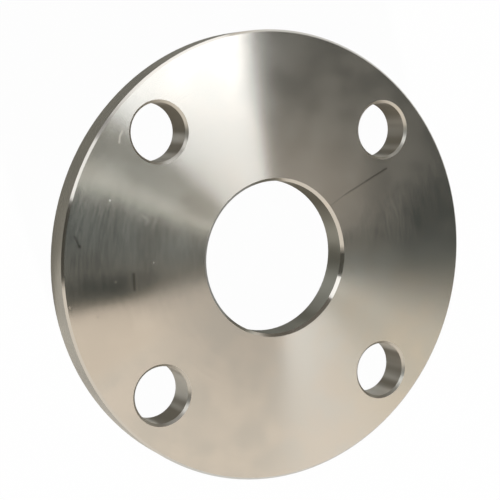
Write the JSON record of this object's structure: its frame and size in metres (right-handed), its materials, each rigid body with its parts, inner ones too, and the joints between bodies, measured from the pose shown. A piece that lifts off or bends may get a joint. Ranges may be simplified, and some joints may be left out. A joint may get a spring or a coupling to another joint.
{
  "type": "slip on flange",
  "caption": "Flat round plate flange with a plain bore that slips over a pipe for welding and a ring of through holes for bolts.",
  "frame": {"origin": "centre of the bore at the back face, on which the flange lies", "axes": "+Z along the bore from the back face to the gasket face; the bolt holes straddle the X and Y centre lines"},
  "size_m": [0.1524, 0.1524, 0.0111],
  "materials": {
    "turned_steel": "bare stainless steel, faced and bored on a lathe, with fine concentric tool marks"
  },
  "bodies": {
    "root": {"flange": "turned_steel"}
  },
  "joints": []
}
